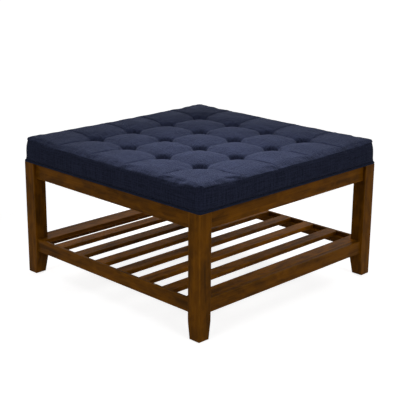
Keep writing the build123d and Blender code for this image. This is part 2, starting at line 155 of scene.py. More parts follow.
def edge_rub():
    """A mask along the long edges of a box-shaped piece, given the piece's two outer corners."""
    tree, given, out = new_tree(
        "edge_rub",
        "Shader",
        [("Place", "Vector"), ("Low", "Vector"), ("High", "Vector"), ("Reach", "Float")],
        [("Mask", "Float")],
    )
    from_low = reckon(tree, "SUBTRACT", given["Place"], given["Low"], kind="VectorMath")
    from_high = reckon(tree, "SUBTRACT", given["High"], given["Place"], kind="VectorMath")
    nearest = reckon(tree, "MINIMUM", from_low, from_high, kind="VectorMath")
    x, y, z = put(tree, "ShaderNodeSeparateXYZ", {0: nearest}).outputs
    lower, upper = reckon(tree, "MINIMUM", x, y), reckon(tree, "MAXIMUM", x, y)
    second = reckon(tree, "MAXIMUM", lower, reckon(tree, "MINIMUM", upper, z))
    patch_scale, faintest = 60.0, 0.35
    patches = mottle(tree, given["Place"], patch_scale, 3.0)
    uneven = spread(tree, patches, 0.3, 0.7, faintest, 1.0)
    mask = spread(tree, reckon(tree, "DIVIDE", second, given["Reach"]), 0.0, 1.0, 1.0, 0.0)
    feed(tree, out, {"Mask": reckon(tree, "MULTIPLY", mask, uneven)})
    return tree


def use(tree, group, feeds):
    """Place a shader node group in a tree, feed its inputs, and give its outputs."""
    return put(tree, "ShaderNodeGroup", feeds, node_tree=group).outputs


def new_material(name):
    """An empty material: its tree, and the shader that feeds its output."""
    material = bpy.data.materials.new(name)
    material.use_nodes = True
    material.node_tree.nodes.clear()
    shader = put(material.node_tree, "ShaderNodeBsdfPrincipled")
    put(material.node_tree, "ShaderNodeOutputMaterial", {"Surface": shader.outputs[0]})
    return material, material.node_tree, shader


def dress(node, material):
    """Give a node of the frame its finish."""
    nodes[node].data.materials.clear()
    nodes[node].data.materials.append(material)


grain_group = wood_grain()
rub_group = edge_rub()
turn_along = {"x": (0, 0, 0), "y": (0, 0, radians(90)), "z": (0, radians(90), 0)}
next_cut = (0.37, 0.61, 0.23)
rub_reach = 0.003
rub_strength = 0.45
grain_strength = 0.25
grain_depth = 0.0003
lacquer_roughness = 0.32
wood_gloss = 0.025


def cut_wood(finish, node, along, colours, lacquer, pore_depth):
    """Give a piece its own cut of wood, with its grain along one axis and its edges rubbed."""
    dark, light, rubbed = colours
    low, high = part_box(node)
    material, tree, shader = new_material(finish + "_" + node)
    place = put(tree, "ShaderNodeTexCoord").outputs["Object"]
    shift = [step * len(bpy.data.materials) for step in next_cut]
    turned = put(tree, "ShaderNodeMapping", {0: place, 1: shift, 2: turn_along[along]}).outputs[0]
    grain = use(tree, grain_group, {
        "Place": turned, "Dark": dark, "Light": light, "Pore Depth": pore_depth,
    })
    rub = use(tree, rub_group, {"Place": place, "Low": low, "High": high, "Reach": rub_reach})
    rub_share = reckon(tree, "MULTIPLY", rub["Mask"], rub_strength)
    feed(tree, shader, {
        "Base Color": blend_colours(tree, rub_share, grain["Color"], rubbed),
        "Roughness": grain["Roughness"],
        "Normal": relief(tree, grain["Height"], grain_strength, grain_depth),
        "Coat Weight": lacquer,
        "Coat Roughness": lacquer_roughness,
        "Specular IOR Level": wood_gloss,
    })
    dress(node, material)


stain_colours = ((58, 33, 2), (124, 75, 7), (142, 94, 26))


def stain(node, along, tone=1.0):
    """Give one piece walnut-stained wood, a little lighter or darker than the rest."""
    colours = [shade(*(part * tone for part in colour)) for colour in stain_colours]
    cut_wood("stained", node, along, colours, lacquer=0.02, pore_depth=0.5)


corners = ("front_left", "front_right", "back_left", "back_right")
for corner in corners:
    stain("leg_" + corner, "z")


# Glides under the feet. Black plastic discs, each held by one nail, keep the end grain of
# the legs off the floor. Their mould left a fine matt texture, and the rim is scuffed.

def speckled(name, base, worn, roughness, metallic=0.0, scale=900.0, bump_size=0.0001):
    """A plain finish with fine mottling and soft scuffs, for small parts and thin black cloth."""
    material, tree, shader = new_material(name)
    place = put(tree, "ShaderNodeTexCoord").outputs["Object"]
    fine = mottle(tree, place, scale, 3.0)
    scuff = spread(tree, mottle(tree, place, scale / 9, 4.0), 0.45, 0.7)
    scuff_roughness, bump_strength = 0.18, 0.4
    feed(tree, shader, {
        "Base Color": blend_colours(tree, scuff, base, worn),
        "Roughness": reckon(tree, "MULTIPLY_ADD", scuff, scuff_roughness, roughness),
        "Normal": relief(tree, fine, bump_strength, bump_size),
        "Metallic": metallic,
    })
    return material


black_plastic = speckled("black_plastic", shade(22, 22, 23), shade(44, 44, 46), roughness=0.5)
zinc_plating = speckled(
    "zinc_plating", shade(168, 172, 176), shade(132, 134, 132), roughness=0.28, metallic=1.0,
    scale=500.0,
)
dress("leg_glides", black_plastic)
dress("glide_nails", zinc_plating)


# Aprons. Four hardwood rails under the cushion, set back from the faces of the legs and
# dowelled into them. Pale dowels, corner blocks and zinc-plated screws and bolts hold the
# inside of each corner. The four rails of the shelf are stained with them.

def leave_plain(node, along):
    """Give one hidden wooden piece its bare, unstained wood."""
    colours = [shade(176, 136, 92), shade(219, 186, 141), shade(226, 198, 158)]
    cut_wood("plain", node, along, colours, lacquer=0.0, pore_depth=0.35)


for side, along in (("front", "x"), ("back", "x"), ("left", "y"), ("right", "y")):
    stain("apron_" + side, along)
    stain("shelf_rail_" + side, along)
leave_plain("apron_dowels", "x")
leave_plain("rail_dowels", "x")
for corner in corners:
    leave_plain("corner_block_" + corner, "x")
for steel in ("block_screws", "cushion_screws", "leg_bolts", "leg_nuts", "leg_washers"):
    dress(steel, zinc_plating)


# Shelf. Eight slats lie level with the rails, on two cleats screwed inside the side rails,
# and one screw holds each end of a slat from below. No two slats took the stain alike, and
# all are painted lighter than the rest of the wood: painted light on the shelf.

slat_names = sorted(name for name in nodes if name.startswith("shelf_slat_"))
# Tones that differ at random from slat to slat, and all above 1: painted light on the shelf.
slat_tones_and_light = (1.14, 1.24, 1.08, 1.18, 1.1, 1.22, 1.12, 1.2)
for slat, tone in zip(slat_names, slat_tones_and_light):
    stain(slat, "x", tone)
for side in ("left", "right"):
    stain("slat_cleat_" + side, "y")
dress("slat_screws", zinc_plating)
dress("cleat_screws", zinc_plating)


# Cushion. A navy linen cover is sewn from a top panel and a side band, stuffed with foam and
# wadding, and pulled down by sixteen buttons. Pleats run from button to button and on to the
# edge. The cover is simulated as cloth over its padding, and the pleats are pressed in after.

band_low, band_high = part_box("cover_band")
crown_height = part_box("cover_top")[1].z
half_cushion = band_high.x
seam_height = band_high.z
hem_height = band_low.z
button_low, button_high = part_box("tuft_buttons")
button_radius = 0.011
welt_low, welt_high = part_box("welt_cord")
welt_radius = (welt_high.z - welt_low.z) / 2

tuft_count = 4
tuft_pitch = (button_high.x - button_low.x - button_radius * 2) / (tuft_count - 1)
half_pitch = tuft_pitch / 2
tuft_lines = np.array([tuft_pitch * (i - (tuft_count - 1) / 2) for i in range(tuft_count)])
last_line = tuft_lines[-1]
border = half_cushion - last_line

well_rim = 0.0290
well_foot = 0.0125
funnel_rim = 0.0550
funnel_drop = 0.0070
crease_depth = 0.0030
shoulder_radius = 0.0080
shoulder_turns = (30, 60, 90)
corner_radius = 0.014
hem_rows = 3


def smooth(value):
    """A rise from 0 to 1 that starts and ends gently."""
    value = np.clip(value, 0, 1)
    return value * value * (3 - 2 * value)


def tuft_distances(x, y):
    """How far each place is from the nearest lines of buttons, and how far out in the border."""
    lines = tuft_lines[None, tuft_count // 2:]
    near_x, near_y = (np.abs(np.abs(v)[:, None] - lines).min(axis=1) for v in (x, y))
    out_x, out_y = (np.clip((np.abs(v) - last_line) / border, 0, 1) for v in (x, y))
    return near_x, near_y, out_x, out_y


def tuft_reach(near_x, near_y):
    """The distance from the nearest button, but along straighter rims than a circle's."""
    straight_share, round_share = 0.7, 0.3
    straight = straight_share * (near_x + near_y) / 2 ** 0.5
    return straight + round_share * np.hypot(near_x, near_y)


def padding_height(x, y):
    """How high the stuffed cover stands: puffs, their valleys and dimples, and a low edge."""
    pleat_drop, pleat_power, border_dip, rim_dip_share = 0.0095, 3, 0.0034, 0.45
    change_share, rim_start, rim_run, crossing_power = 0.45, 0.55, 0.45, 4
    edge_drop, edge_power, button_clearance = 0.0035, 2.4, 0.001
    near_x, near_y, out_x, out_y = tuft_distances(x, y)
    valleys = 0
    for near, out in ((near_x, out_y), (near_y, out_x)):
        share = np.clip(near / half_pitch, 0, 1)
        in_border = smooth(out / change_share)
        valley = pleat_drop * (1 - share) ** pleat_power * (1 - in_border)
        dip = border_dip * (1 - (1 - rim_dip_share) * smooth((out - rim_start) / rim_run))
        wave = dip * (1 + np.cos(share * pi)) / 2 * in_border
        valleys = valleys + (valley + wave) ** crossing_power
    height = crown_height - valleys ** (1 / crossing_power)
    height -= edge_drop * (1 - (1 - out_x ** edge_power) * (1 - out_y ** edge_power))
    reach = tuft_reach(near_x, near_y)
    height -= funnel_drop * smooth((funnel_rim - reach) / (funnel_rim - well_foot))
    sunk = smooth((well_rim - reach) / (well_rim - well_foot))
    return height + (button_low.z + button_clearance - height) * sunk


def press_pleats(x, y):
    """How far the creases that run along the lines of buttons lie below the padding."""
    crease_reach, sharpness, fade_power = 0.0042, 1.4, 3
    near_x, near_y, out_x, out_y = tuft_distances(x, y)
    crease_x = np.clip(1 - near_x / crease_reach, 0, 1) ** sharpness * (1 - out_y ** fade_power)
    crease_y = np.clip(1 - near_y / crease_reach, 0, 1) ** sharpness * (1 - out_x ** fade_power)
    outside = smooth((tuft_reach(near_x, near_y) - well_foot) / (well_rim - well_foot))
    return crease_depth * np.maximum(crease_x, crease_y) * outside


def cloth_lines():
    """Lines of the cloth across the top: one along each row of buttons, and closer beside it."""
    puff_shares = np.array(
        [0, 0.05, 0.1, 0.14, 0.175, 0.21, 0.25, 0.305, 0.38, 0.48, 0.59, 0.72, 0.86, 1]
    )
    border_cells, corner_cells = 9, 3
    inner_half = half_cushion - shoulder_radius
    corner_start = half_cushion - corner_radius
    graded = half_pitch * puff_shares
    half = np.concatenate([
        (half_pitch - graded)[::-1],
        half_pitch + graded[1:],
        (last_line - graded)[-2::-1],
        last_line + graded[1:],
        np.linspace(last_line + half_pitch, corner_start, border_cells + 1)[1:],
        np.linspace(corner_start, inner_half, corner_cells + 1)[1:],
    ])
    return np.concatenate([-half[:0:-1], half])


def cover_rows(rim_height):
    """The rings of cloth below the top's rim: how far each lies outside it, and how high."""
    drawn_in, seam_groove, seam_reach, band_rows = 0.00245, 0.0010, 0.0014, 8
    welt_gap, ledge_step, hem_rise, hem_turn = 0.0004, 0.0006, 0.0012, 0.0015
    rows = []
    for turn in shoulder_turns:
        swing = radians(turn)
        drop = shoulder_radius * (1 - cos(swing))
        rows.append((shoulder_radius * sin(swing), rim_height - drop))
    shoulder_foot = rows[-1][1]
    rows.append((shoulder_radius - drawn_in - seam_groove, shoulder_foot - seam_reach))
    seam_foot = shoulder_foot - seam_reach * 2
    ledge = welt_high.z + welt_gap
    for share in np.linspace(0, 1, band_rows):
        belly = shoulder_radius - drawn_in * (share * 2 - 1) ** 2
        rows.append((belly, seam_foot + (ledge - seam_foot) * share))
    tucked = shoulder_radius - welt_radius * 2 - welt_gap
    level = np.zeros_like(rim_height)
    rows.append((tucked, level + ledge - ledge_step))
    rows.append((tucked, level + hem_height + hem_rise))
    rows.append((tucked - hem_turn, level + hem_height))
    return rows


def grid_faces(grid):
    """The quads between the points of a grid."""
    first, second = grid[:-1, :-1].ravel(), grid[1:, :-1].ravel()
    third, fourth = grid[1:, 1:].ravel(), grid[:-1, 1:].ravel()
    return np.column_stack([first, second, third, fourth])


def sew_cover():
    """The cover as quads, open under the board: points, faces, each face's panel, UV and pins."""
    pleat_half_width, pleat_hold, pleat_give = 0.002, 0.7, 0.6
    corner_ease, corner_groove, corner_turn = 0.0045, 0.0012, 0.68
    lines = cloth_lines()
    count = len(lines)
    small_radius = corner_radius - shoulder_radius
    start = lines[-1] - small_radius
    x, y = (grid.ravel() for grid in np.meshgrid(lines, lines, indexing="ij"))
    in_x, in_y = (np.clip((np.abs(v) - start) / small_radius, 0, 1) for v in (x, y))
    both = (in_x > 0) & (in_y > 0)
    round_x = np.sign(x) * (start + small_radius * in_x * np.sqrt(1 - in_y ** 2 / 2))
    round_y = np.sign(y) * (start + small_radius * in_y * np.sqrt(1 - in_x ** 2 / 2))
    flat_x, flat_y = np.where(both, round_x, x), np.where(both, round_y, y)
    near_x, near_y, out_x, out_y = tuft_distances(flat_x, flat_y)
    tied = smooth((funnel_rim - tuft_reach(near_x, near_y)) / (funnel_rim - well_rim))
    on_pleat = np.maximum(near_x < pleat_half_width, near_y < pleat_half_width)
    pleat_pin = pleat_hold * on_pleat * (1 - pleat_give * np.maximum(out_x, out_y))
    height = padding_height(flat_x, flat_y)

    grid = np.arange(count * count).reshape(count, count)
    rim = np.concatenate([grid[:-1, 0], grid[-1, :-1], grid[:0:-1, -1], grid[0, :0:-1]])
    flat = np.column_stack([flat_x, flat_y])
    ring = flat[rim]
    outward = np.where(np.abs(ring) > start + 1e-9, ring - np.sign(ring) * start, 0)
    outward /= np.linalg.norm(outward, axis=1)[:, None]
    widest = ring + outward * shoulder_radius
    at_corner = np.abs(outward).min(axis=1) > corner_turn
    eased = corner_ease * 2 * np.abs(outward).prod(axis=1)
    strides = np.linalg.norm(np.roll(widest, -1, axis=0) - widest, axis=1)
    walked = np.concatenate([[0], np.cumsum(strides)])

    points = [np.column_stack([flat_x, flat_y, height])]
    pins = [np.maximum(tied, pleat_pin)]
    faces = [grid_faces(grid)]
    panels = [np.zeros(len(faces[0]), int)]
    cloth_places = [flat[faces[0]]]
    above, above_step, above_height = rim, 0.0, height[rim]
    rows = cover_rows(height[rim])
    shoulder_rows = len(shoulder_turns)
    for number, (step, row_height) in enumerate(rows):
        grooved = at_corner & (shoulder_rows <= number < len(rows) - hem_rows)
        rise_share = smooth((row_height - welt_high.z) / (height[rim] - welt_high.z))
        ease = eased * rise_share * min(1, (number + 1) / shoulder_rows)
        sewn_in = corner_groove * grooved + ease
        points.append(np.column_stack([ring + outward * (step - sewn_in)[:, None], row_height]))
        pins.append(np.full(len(rim), 1.0 if number >= len(rows) - hem_rows - 1 else 0.0))
        below = count * count + number * len(rim) + np.arange(len(rim))
        faces.append(np.column_stack([above, below, np.roll(below, -1), np.roll(above, -1)]))
        in_top = number < shoulder_rows
        panels.append(np.full(len(rim), 0 if in_top else 1))
        if in_top:
            upper, lower = ring + outward * above_step, ring + outward * step
            face_corners = [upper, lower, np.roll(lower, -1, axis=0), np.roll(upper, -1, axis=0)]
        else:
            face_corners = [
                np.column_stack([walked[:-1], above_height]),
                np.column_stack([walked[:-1], row_height]),
                np.column_stack([walked[1:], np.roll(row_height, -1)]),
                np.column_stack([walked[1:], np.roll(above_height, -1)]),
            ]
        cloth_places.append(np.stack(face_corners, axis=1))
        above, above_step, above_height = below, step, row_height
    return (np.concatenate(part) for part in (points, faces, panels, cloth_places, pins))


def stuff(piece, points, pins):
    """Draw the cloth in, and let the padding push it out against its pins, up to a cap."""
    drawn_in, swell_cap, cloth_frames = 0.003, 0.0045, 20
    out_x, out_y = tuft_distances(points[:, 0], points[:, 1])[2:]
    on_top = smooth((points[:, 2] - seam_height) / shoulder_radius)
    inward = np.column_stack([
        np.sign(points[:, 0]) * smooth(out_x), np.sign(points[:, 1]) * smooth(out_y), on_top,
    ])
    start = (points - drawn_in * (1 - pins)[:, None] * inward).ravel()
    piece.data.vertices.foreach_set("co", start)
    piece.data.update()
    held = piece.vertex_groups.new(name="held")
    for weight in np.unique(pins):
        held.add(np.nonzero(pins == weight)[0].tolist(), float(weight), "REPLACE")
    cloth = piece.modifiers.new("padding", "CLOTH")
    cloth.settings.quality = 6
    cloth.settings.mass = 0.4
    cloth.settings.tension_stiffness = 12
    cloth.settings.compression_stiffness = 8
    cloth.settings.shear_stiffness = 4
    cloth.settings.bending_stiffness = 0.3
    cloth.settings.use_pressure = True
    cloth.settings.uniform_pressure_force = 4.0
    cloth.settings.effector_weights.gravity = 0
    cloth.settings.vertex_group_mass = held.name
    cloth.settings.shrink_min = -0.004
    cloth.collision_settings.use_collision = False
    for number in range(1, cloth_frames + 1):
        bpy.context.scene.frame_set(number)
    graph = bpy.context.evaluated_depsgraph_get()
    settled = np.empty_like(start)
    piece.evaluated_get(graph).data.vertices.foreach_get("co", settled)
    piece.modifiers.remove(cloth)
    piece.vertex_groups.remove(held)
    bpy.context.scene.frame_set(1)
    moved = (settled - start).reshape(-1, 3)
    length = np.linalg.norm(moved, axis=1)
    moved *= np.minimum(1, swell_cap / np.maximum(length, 1e-9))[:, None]
    return start.reshape(-1, 3) + moved


def cloth_mesh(name, points, faces):
    """A smooth mesh of the points and faces of a cloth."""
    mesh = bpy.data.meshes.new(name)
    mesh.from_pydata(points.tolist(), [], faces.tolist())
    mesh.polygons.foreach_set("use_smooth", np.ones(len(faces), bool))
    return mesh


def bring_in(name, data):
    """A new object in the scene, which holds a mesh, a lamp or a camera."""
    made = bpy.data.objects.new(name, data)
    bpy.context.scene.collection.objects.link(made)
    return made


def finished(piece, modifier_kind=None, **settings):
    """Replace a piece's mesh with the plain mesh that its modifiers give."""
    if modifier_kind:
        modifier = piece.modifiers.new("finish", modifier_kind)
        for field, value in settings.items():
            setattr(modifier, field, value)
    graph = bpy.context.evaluated_depsgraph_get()
    plain = bpy.data.meshes.new_from_object(piece.evaluated_get(graph))
    plain.name = piece.name
    piece.modifiers.clear()
    piece.data = plain
    return plain


points, faces, panels, cloth_places, pins = sew_cover()
cover_mesh = cloth_mesh("cushion_cover", points, faces)
cover_mesh.polygons.foreach_set("material_index", panels)
cloth_map = cover_mesh.uv_layers.new(name="cloth")
cloth_map.data.foreach_set("uv", cloth_places.ravel())
cushion = bring_in("cushion_cover", cover_mesh)
padded_points = stuff(cushion, points, pins)
cover_mesh.vertices.foreach_set("co", padded_points.ravel())
cover_mesh = finished(cushion, "SUBSURF", levels=1, render_levels=1)

unevenness, unevenness_scale = 0.0011, 16.0
top_start, top_run = 0.001, 0.006
dimple_shade_start, dimple_shade_run = 0.0125, 0.012
co = np.empty(len(cover_mesh.vertices) * 3)
cover_mesh.vertices.foreach_get("co", co)
co = co.reshape(-1, 3)
on_top = smooth((co[:, 2] - seam_height - top_start) / top_run)
hand = np.array([noise.noise(Vector(place) * unevenness_scale) for place in co])
pressed = press_pleats(co[:, 0], co[:, 1])
co[:, 2] += on_top * (unevenness * hand - pressed)
cover_mesh.vertices.foreach_set("co", co.ravel())
# Painted shade: the cover's linen is darkened in the pressed creases and down in the dimples.
in_dimple = tuft_reach(*tuft_distances(co[:, 0], co[:, 1])[:2]) < well_rim
sunk = smooth((crown_height - dimple_shade_start - co[:, 2]) / dimple_shade_run) * in_dimple
painted_shade = cover_mesh.attributes.new("painted_shade", "FLOAT", "POINT")
painted_shade.data.foreach_set("value", on_top * np.maximum(pressed / crease_depth, sunk))

shell = bmesh.new()
shell.from_mesh(cover_mesh)
bmesh.ops.contextual_create(shell, geom=[e for e in shell.edges if e.is_boundary], mat_nr=1)
shell.to_mesh(cover_mesh)
shell.free()


def linen_weave():
    """Two sets of threads over and under each other, with slubs and threads of uneven shade."""
    tree, given, out = new_tree(
        "linen_weave",
        "Shader",
        [("Place", "Vector"), ("Pitch", "Float"), ("Dark", "Color"), ("Light", "Color"),
         ("Slub", "Float")],
        [("Color", "Color"), ("Roughness", "Float"), ("Height", "Float")],
    )
    waves = []
    for across in put(tree, "ShaderNodeSeparateXYZ", {0: given["Place"]}).outputs[:2]:
        count = reckon(tree, "DIVIDE", across, given["Pitch"])
        waves.append(reckon(tree, "SINE", reckon(tree, "MULTIPLY", count, pi)))
    warp, weft = (reckon(tree, "ABSOLUTE", wave) for wave in waves)
    over = spread(tree, reckon(tree, "MULTIPLY", *waves), -0.25, 0.25)
    height = put(tree, "ShaderNodeMix", {0: over, 2: weft, 3: warp}).outputs[0]
    # In each row: patches to the metre on each axis, and the bounds of the marks.
    warp_slub, weft_slub, heather = (
        spread(tree, streaks(tree, given["Place"], stretch, 3.0), low, high)
        for stretch, low, high in (
            ((330.0, 14.0, 1.0), 0.35, 0.7),
            ((14.0, 330.0, 1.0), 0.35, 0.7),
            ((170.0, 170.0, 1.0), 0.3, 0.7),
        )
    )
    slub = reckon(tree, "MULTIPLY", reckon(tree, "ADD", warp_slub, weft_slub), given["Slub"])
    heather_share, slub_share, thread_shade_share = 0.35, 0.5, 0.25
    share = reckon(tree, "MULTIPLY", slub, slub_share)
    share = reckon(tree, "MULTIPLY_ADD", heather, heather_share, share)
    # Painted shade in the weave: lighter on the threads' crowns, darker in the hollows between
    # them.
    share = reckon(tree, "MULTIPLY_ADD", height, thread_shade_share, share)
    base_roughness, light_polish, slub_height = 0.92, -0.1, 0.6
    feed(tree, out, {
        "Color": blend_colours(tree, share, given["Dark"], given["Light"]),
        "Roughness": reckon(tree, "MULTIPLY_ADD", share, light_polish, base_roughness),
        "Height": reckon(tree, "MULTIPLY_ADD", slub, slub_height, height),
    })
    return tree


weave_group = linen_weave()
# Painted shade: the dark colour of creases and dimples, and how strongly it is mixed in.
painted_shade_colour = shade(5, 6, 12)
painted_shade_strength = 0.8
weave_strength = 0.5
weave_depth = 0.0005
sheen_roughness = 0.45
sheen_colour = shade(164, 172, 200)
cloth_gloss = 0.015


def woven(name, dark, light, pitch, slub, sheen, laid_along="UV", turn=0):
    """Linen, laid along a piece's cloth map or axes, with painted shade in creases and dimples."""
    material, tree, shader = new_material(name)
    place = put(tree, "ShaderNodeTexCoord").outputs[laid_along]
    turned = put(tree, "ShaderNodeMapping", {0: place, 2: (0, 0, radians(turn))}).outputs[0]
    weave = use(tree, weave_group, {
        "Place": turned, "Pitch": pitch, "Dark": dark, "Light": light, "Slub": slub,
    })
    painted_shade_mask = put(tree, "ShaderNodeAttribute", attribute_name="painted_shade").outputs["Fac"]
    painted_shade_share = reckon(tree, "MULTIPLY", painted_shade_mask, painted_shade_strength)
    feed(tree, shader, {
        "Base Color": blend_colours(tree, painted_shade_share, weave["Color"], painted_shade_colour),
        "Roughness": weave["Roughness"],
        "Normal": relief(tree, weave["Height"], weave_strength, weave_depth),
        "Sheen Weight": sheen,
        "Sheen Roughness": sheen_roughness,
        "Sheen Tint": sheen_colour,
        "Specular IOR Level": cloth_gloss,
    })
    return material


# The top panel and the band are one linen, but the top is given lighter colours and more sheen
# than the band: painted light on the top.
lit_navy_top = woven(
    "lit_navy_top", shade(17, 20, 33), shade(46, 51, 73), pitch=0.0011, slub=0.8, sheen=0.2,
)
navy_band = woven(
    "navy_band", shade(16, 19, 31), shade(41, 45, 64), pitch=0.0011, slub=0.9, sheen=0.08,
)
cover_mesh.materials.append(lit_navy_top)
cover_mesh.materials.append(navy_band)

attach(cushion, "root")
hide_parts("cover_top", "cover_band", "cushion_foam")


# Welt. A cord covered with the same cloth, cut on the bias, runs round the cushion's bottom
# edge in the groove under the band, and hides the seam where the band turns under. Its cover
# puckers a little where it is sewn.

def grown(name, tree, values):
    """A plain mesh piece that a geometry node tree makes, given a value for each of its inputs."""
    piece = bring_in(name, bpy.data.meshes.new(name))
    modifier = piece.modifiers.new("make", "NODES")
    modifier.node_group = tree
    for socket in tree.interface.items_tree:
        if socket.in_out == "INPUT":
            modifier[socket.identifier] = values[socket.name]
    finished(piece)
    return piece


def combine(tree, x, y, z):
    """Three values as one vector."""
    return put(tree, "ShaderNodeCombineXYZ", {0: x, 1: y, 2: z}).outputs[0]


def alter(tree, operation, geometry, feeds=None, **fields):
    """The geometry that a geometry node makes of another."""
    feeds = {"Geometry": geometry, **(feeds or {})}
    return put(tree, "GeometryNode" + operation, feeds, **fields).outputs[0]


def close_tree(tree, out, geometry, material):
    """End a geometry node tree: make its instances real and give it its material."""
    whole = alter(tree, "RealizeInstances", geometry)
    feed(tree, out, {"Geometry": alter(tree, "SetMaterial", whole, {"Material": material})})


def welt_round():
    """A cord that follows a square with rounded corners, with a cloth map along and around it."""
    tree, given, out = new_tree("welt_round", "Geometry", [
        ("Half Size", "Float"), ("Corner Radius", "Float"), ("Height", "Float"),
        ("Cord Radius", "Float"), ("Steps", "Int"), ("Sides", "Int"), ("Pucker", "Float"),
        ("Pucker Scale", "Float"), ("Cloth", "Material"),
    ], [("Geometry", "Geometry")])
    corner_steps = 8
    side = reckon(tree, "MULTIPLY", given["Half Size"], 2.0)
    feeds = {"Width": side, "Height": side}
    square = put(tree, "GeometryNodeCurvePrimitiveQuadrilateral", feeds).outputs[0]
    feeds = {"Curve": square, "Count": corner_steps, "Radius": given["Corner Radius"]}
    rounded = put(tree, "GeometryNodeFilletCurve", feeds, mode="POLY").outputs[0]
    feeds = {"Curve": rounded, "Count": given["Steps"]}
    path = put(tree, "GeometryNodeResampleCurve", feeds).outputs[0]
    path = alter(tree, "SetPosition", path, {"Offset": combine(tree, 0.0, 0.0, given["Height"])})
    feeds = {"Resolution": given["Sides"], "Radius": given["Cord Radius"]}
    section = put(tree, "GeometryNodeCurvePrimitiveCircle", feeds).outputs[0]
    kept = put(tree, "GeometryNodeCaptureAttribute", domain="POINT")
    kept.capture_items.new("FLOAT", "Around")
    around = put(tree, "GeometryNodeSplineParameter").outputs["Length"]
    feed(tree, kept, {0: section, 1: around})
    feeds = {"Curve": path, "Profile Curve": kept.outputs[0]}
    cord = put(tree, "GeometryNodeCurveToMesh", feeds).outputs[0]
    place = put(tree, "GeometryNodeInputPosition").outputs[0]
    x, y = put(tree, "ShaderNodeSeparateXYZ", {0: place}).outputs[:2]
    rise = reckon(tree, "SUBTRACT", mottle(tree, place, given["Pucker Scale"], 1.0), 0.5)
    rise = reckon(tree, "MULTIPLY", rise, given["Pucker"])
    feeds = {0: put(tree, "GeometryNodeInputNormal").outputs[0], "Scale": rise}
    push = put(tree, "ShaderNodeVectorMath", feeds, operation="SCALE").outputs[0]
    cord = alter(tree, "SetPosition", cord, {"Offset": push})
    cord = alter(tree, "SetShadeSmooth", cord)
    cloth_place = combine(tree, reckon(tree, "ADD", x, y), kept.outputs[1], 0.0)
    feeds = {"Name": "cloth", "Value": cloth_place}
    cord = alter(
        tree, "StoreNamedAttribute", cord, feeds, data_type="FLOAT2", domain="CORNER",
    )
    close_tree(tree, out, cord, given["Cloth"])
    return tree


navy_welt = woven(
    "navy_welt", shade(14, 18, 31), shade(40, 46, 66), pitch=0.0009, slub=0.5, sheen=0.1,
    turn=45,
)
welt = grown("welt", welt_round(), {
    "Half Size": welt_high.x - welt_radius,
    "Corner Radius": corner_radius - welt_radius,
    "Height": (welt_low.z + welt_high.z) / 2,
    "Cord Radius": welt_radius,
    "Steps": 900,
    "Sides": 14,
    "Pucker": 0.0009,
    "Pucker Scale": 190.0,
    "Cloth": navy_welt,
})
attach(welt, "root")
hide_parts("welt_cord")


# Buttons. Sixteen metal shells, each wrapped in a round of the cover's cloth, which gathers
# under the rim. Waxed twine pulls them down through the foam to washers under the board.

def button_field():
    """A square field of gathered, cloth-covered buttons."""
    tree, given, out = new_tree("button_field", "Geometry", [
        ("Radius", "Float"), ("Height", "Float"), ("Floor", "Float"), ("Pitch", "Float"),
        ("Count", "Int"), ("Gathers", "Float"), ("Gather Depth", "Float"), ("Seed", "Int"),
        ("Cloth", "Material"),
    ], [("Geometry", "Geometry")])
    rings, spokes, dome_power, most_tilt, seam_reach = 13, 49, 0.75, 0.06, 0.000001
    feeds = {"Size X": 1.0, "Size Y": 1.0, "Vertices X": rings, "Vertices Y": spokes}
    sheet = put(tree, "GeometryNodeMeshGrid", feeds).outputs[0]
    place = put(tree, "GeometryNodeInputPosition").outputs[0]
    x, y = put(tree, "ShaderNodeSeparateXYZ", {0: place}).outputs[:2]
    slope = reckon(tree, "MULTIPLY", reckon(tree, "ADD", x, 0.5), pi)
    swing = reckon(tree, "MULTIPLY", reckon(tree, "ADD", y, 0.5), pi * 2)
    girth = reckon(tree, "ABSOLUTE", reckon(tree, "SINE", slope))
    girth = reckon(tree, "POWER", girth, dome_power)
    gathers_start, gathers_full = pi * 0.3, pi * 0.6
    under = spread(tree, slope, gathers_start, gathers_full)
    ripple = reckon(tree, "COSINE", reckon(tree, "MULTIPLY", swing, given["Gathers"]))
    ripple = reckon(tree, "MULTIPLY", ripple, under)
    ripple = reckon(tree, "MULTIPLY", ripple, given["Gather Depth"])
    reach = reckon(tree, "MULTIPLY", girth, reckon(tree, "ADD", given["Radius"], ripple))
    rise = reckon(tree, "MULTIPLY_ADD", reckon(tree, "COSINE", slope), 0.5, 0.5)
    around = combine(
        tree,
        reckon(tree, "MULTIPLY", reach, reckon(tree, "COSINE", swing)),
        reckon(tree, "MULTIPLY", reach, reckon(tree, "SINE", swing)),
        reckon(tree, "MULTIPLY", rise, given["Height"]),
    )
    button = alter(tree, "SetPosition", sheet, {"Position": around})
    button = alter(tree, "MergeByDistance", button, {"Distance": seam_reach})
    button = alter(tree, "SetShadeSmooth", button)
    count = given["Count"]
    side = reckon(tree, "MULTIPLY", given["Pitch"], reckon(tree, "SUBTRACT", count, 1.0))
    feeds = {"Size X": side, "Size Y": side, "Vertices X": count, "Vertices Y": count}
    places = put(tree, "GeometryNodeMeshGrid", feeds).outputs[0]
    lift = combine(tree, 0.0, 0.0, given["Floor"])
    places = alter(tree, "SetPosition", places, {"Offset": lift})
    feeds = {0: (0, 0, 0), 1: (most_tilt, most_tilt, pi * 2), "Seed": given["Seed"]}
    turn = put(tree, "FunctionNodeRandomValue", feeds, data_type="FLOAT_VECTOR").outputs[0]
    feeds = {"Points": places, "Instance": button, "Rotation": turn}
    field = put(tree, "GeometryNodeInstanceOnPoints", feeds).outputs[0]
    close_tree(tree, out, field, given["Cloth"])
    return tree


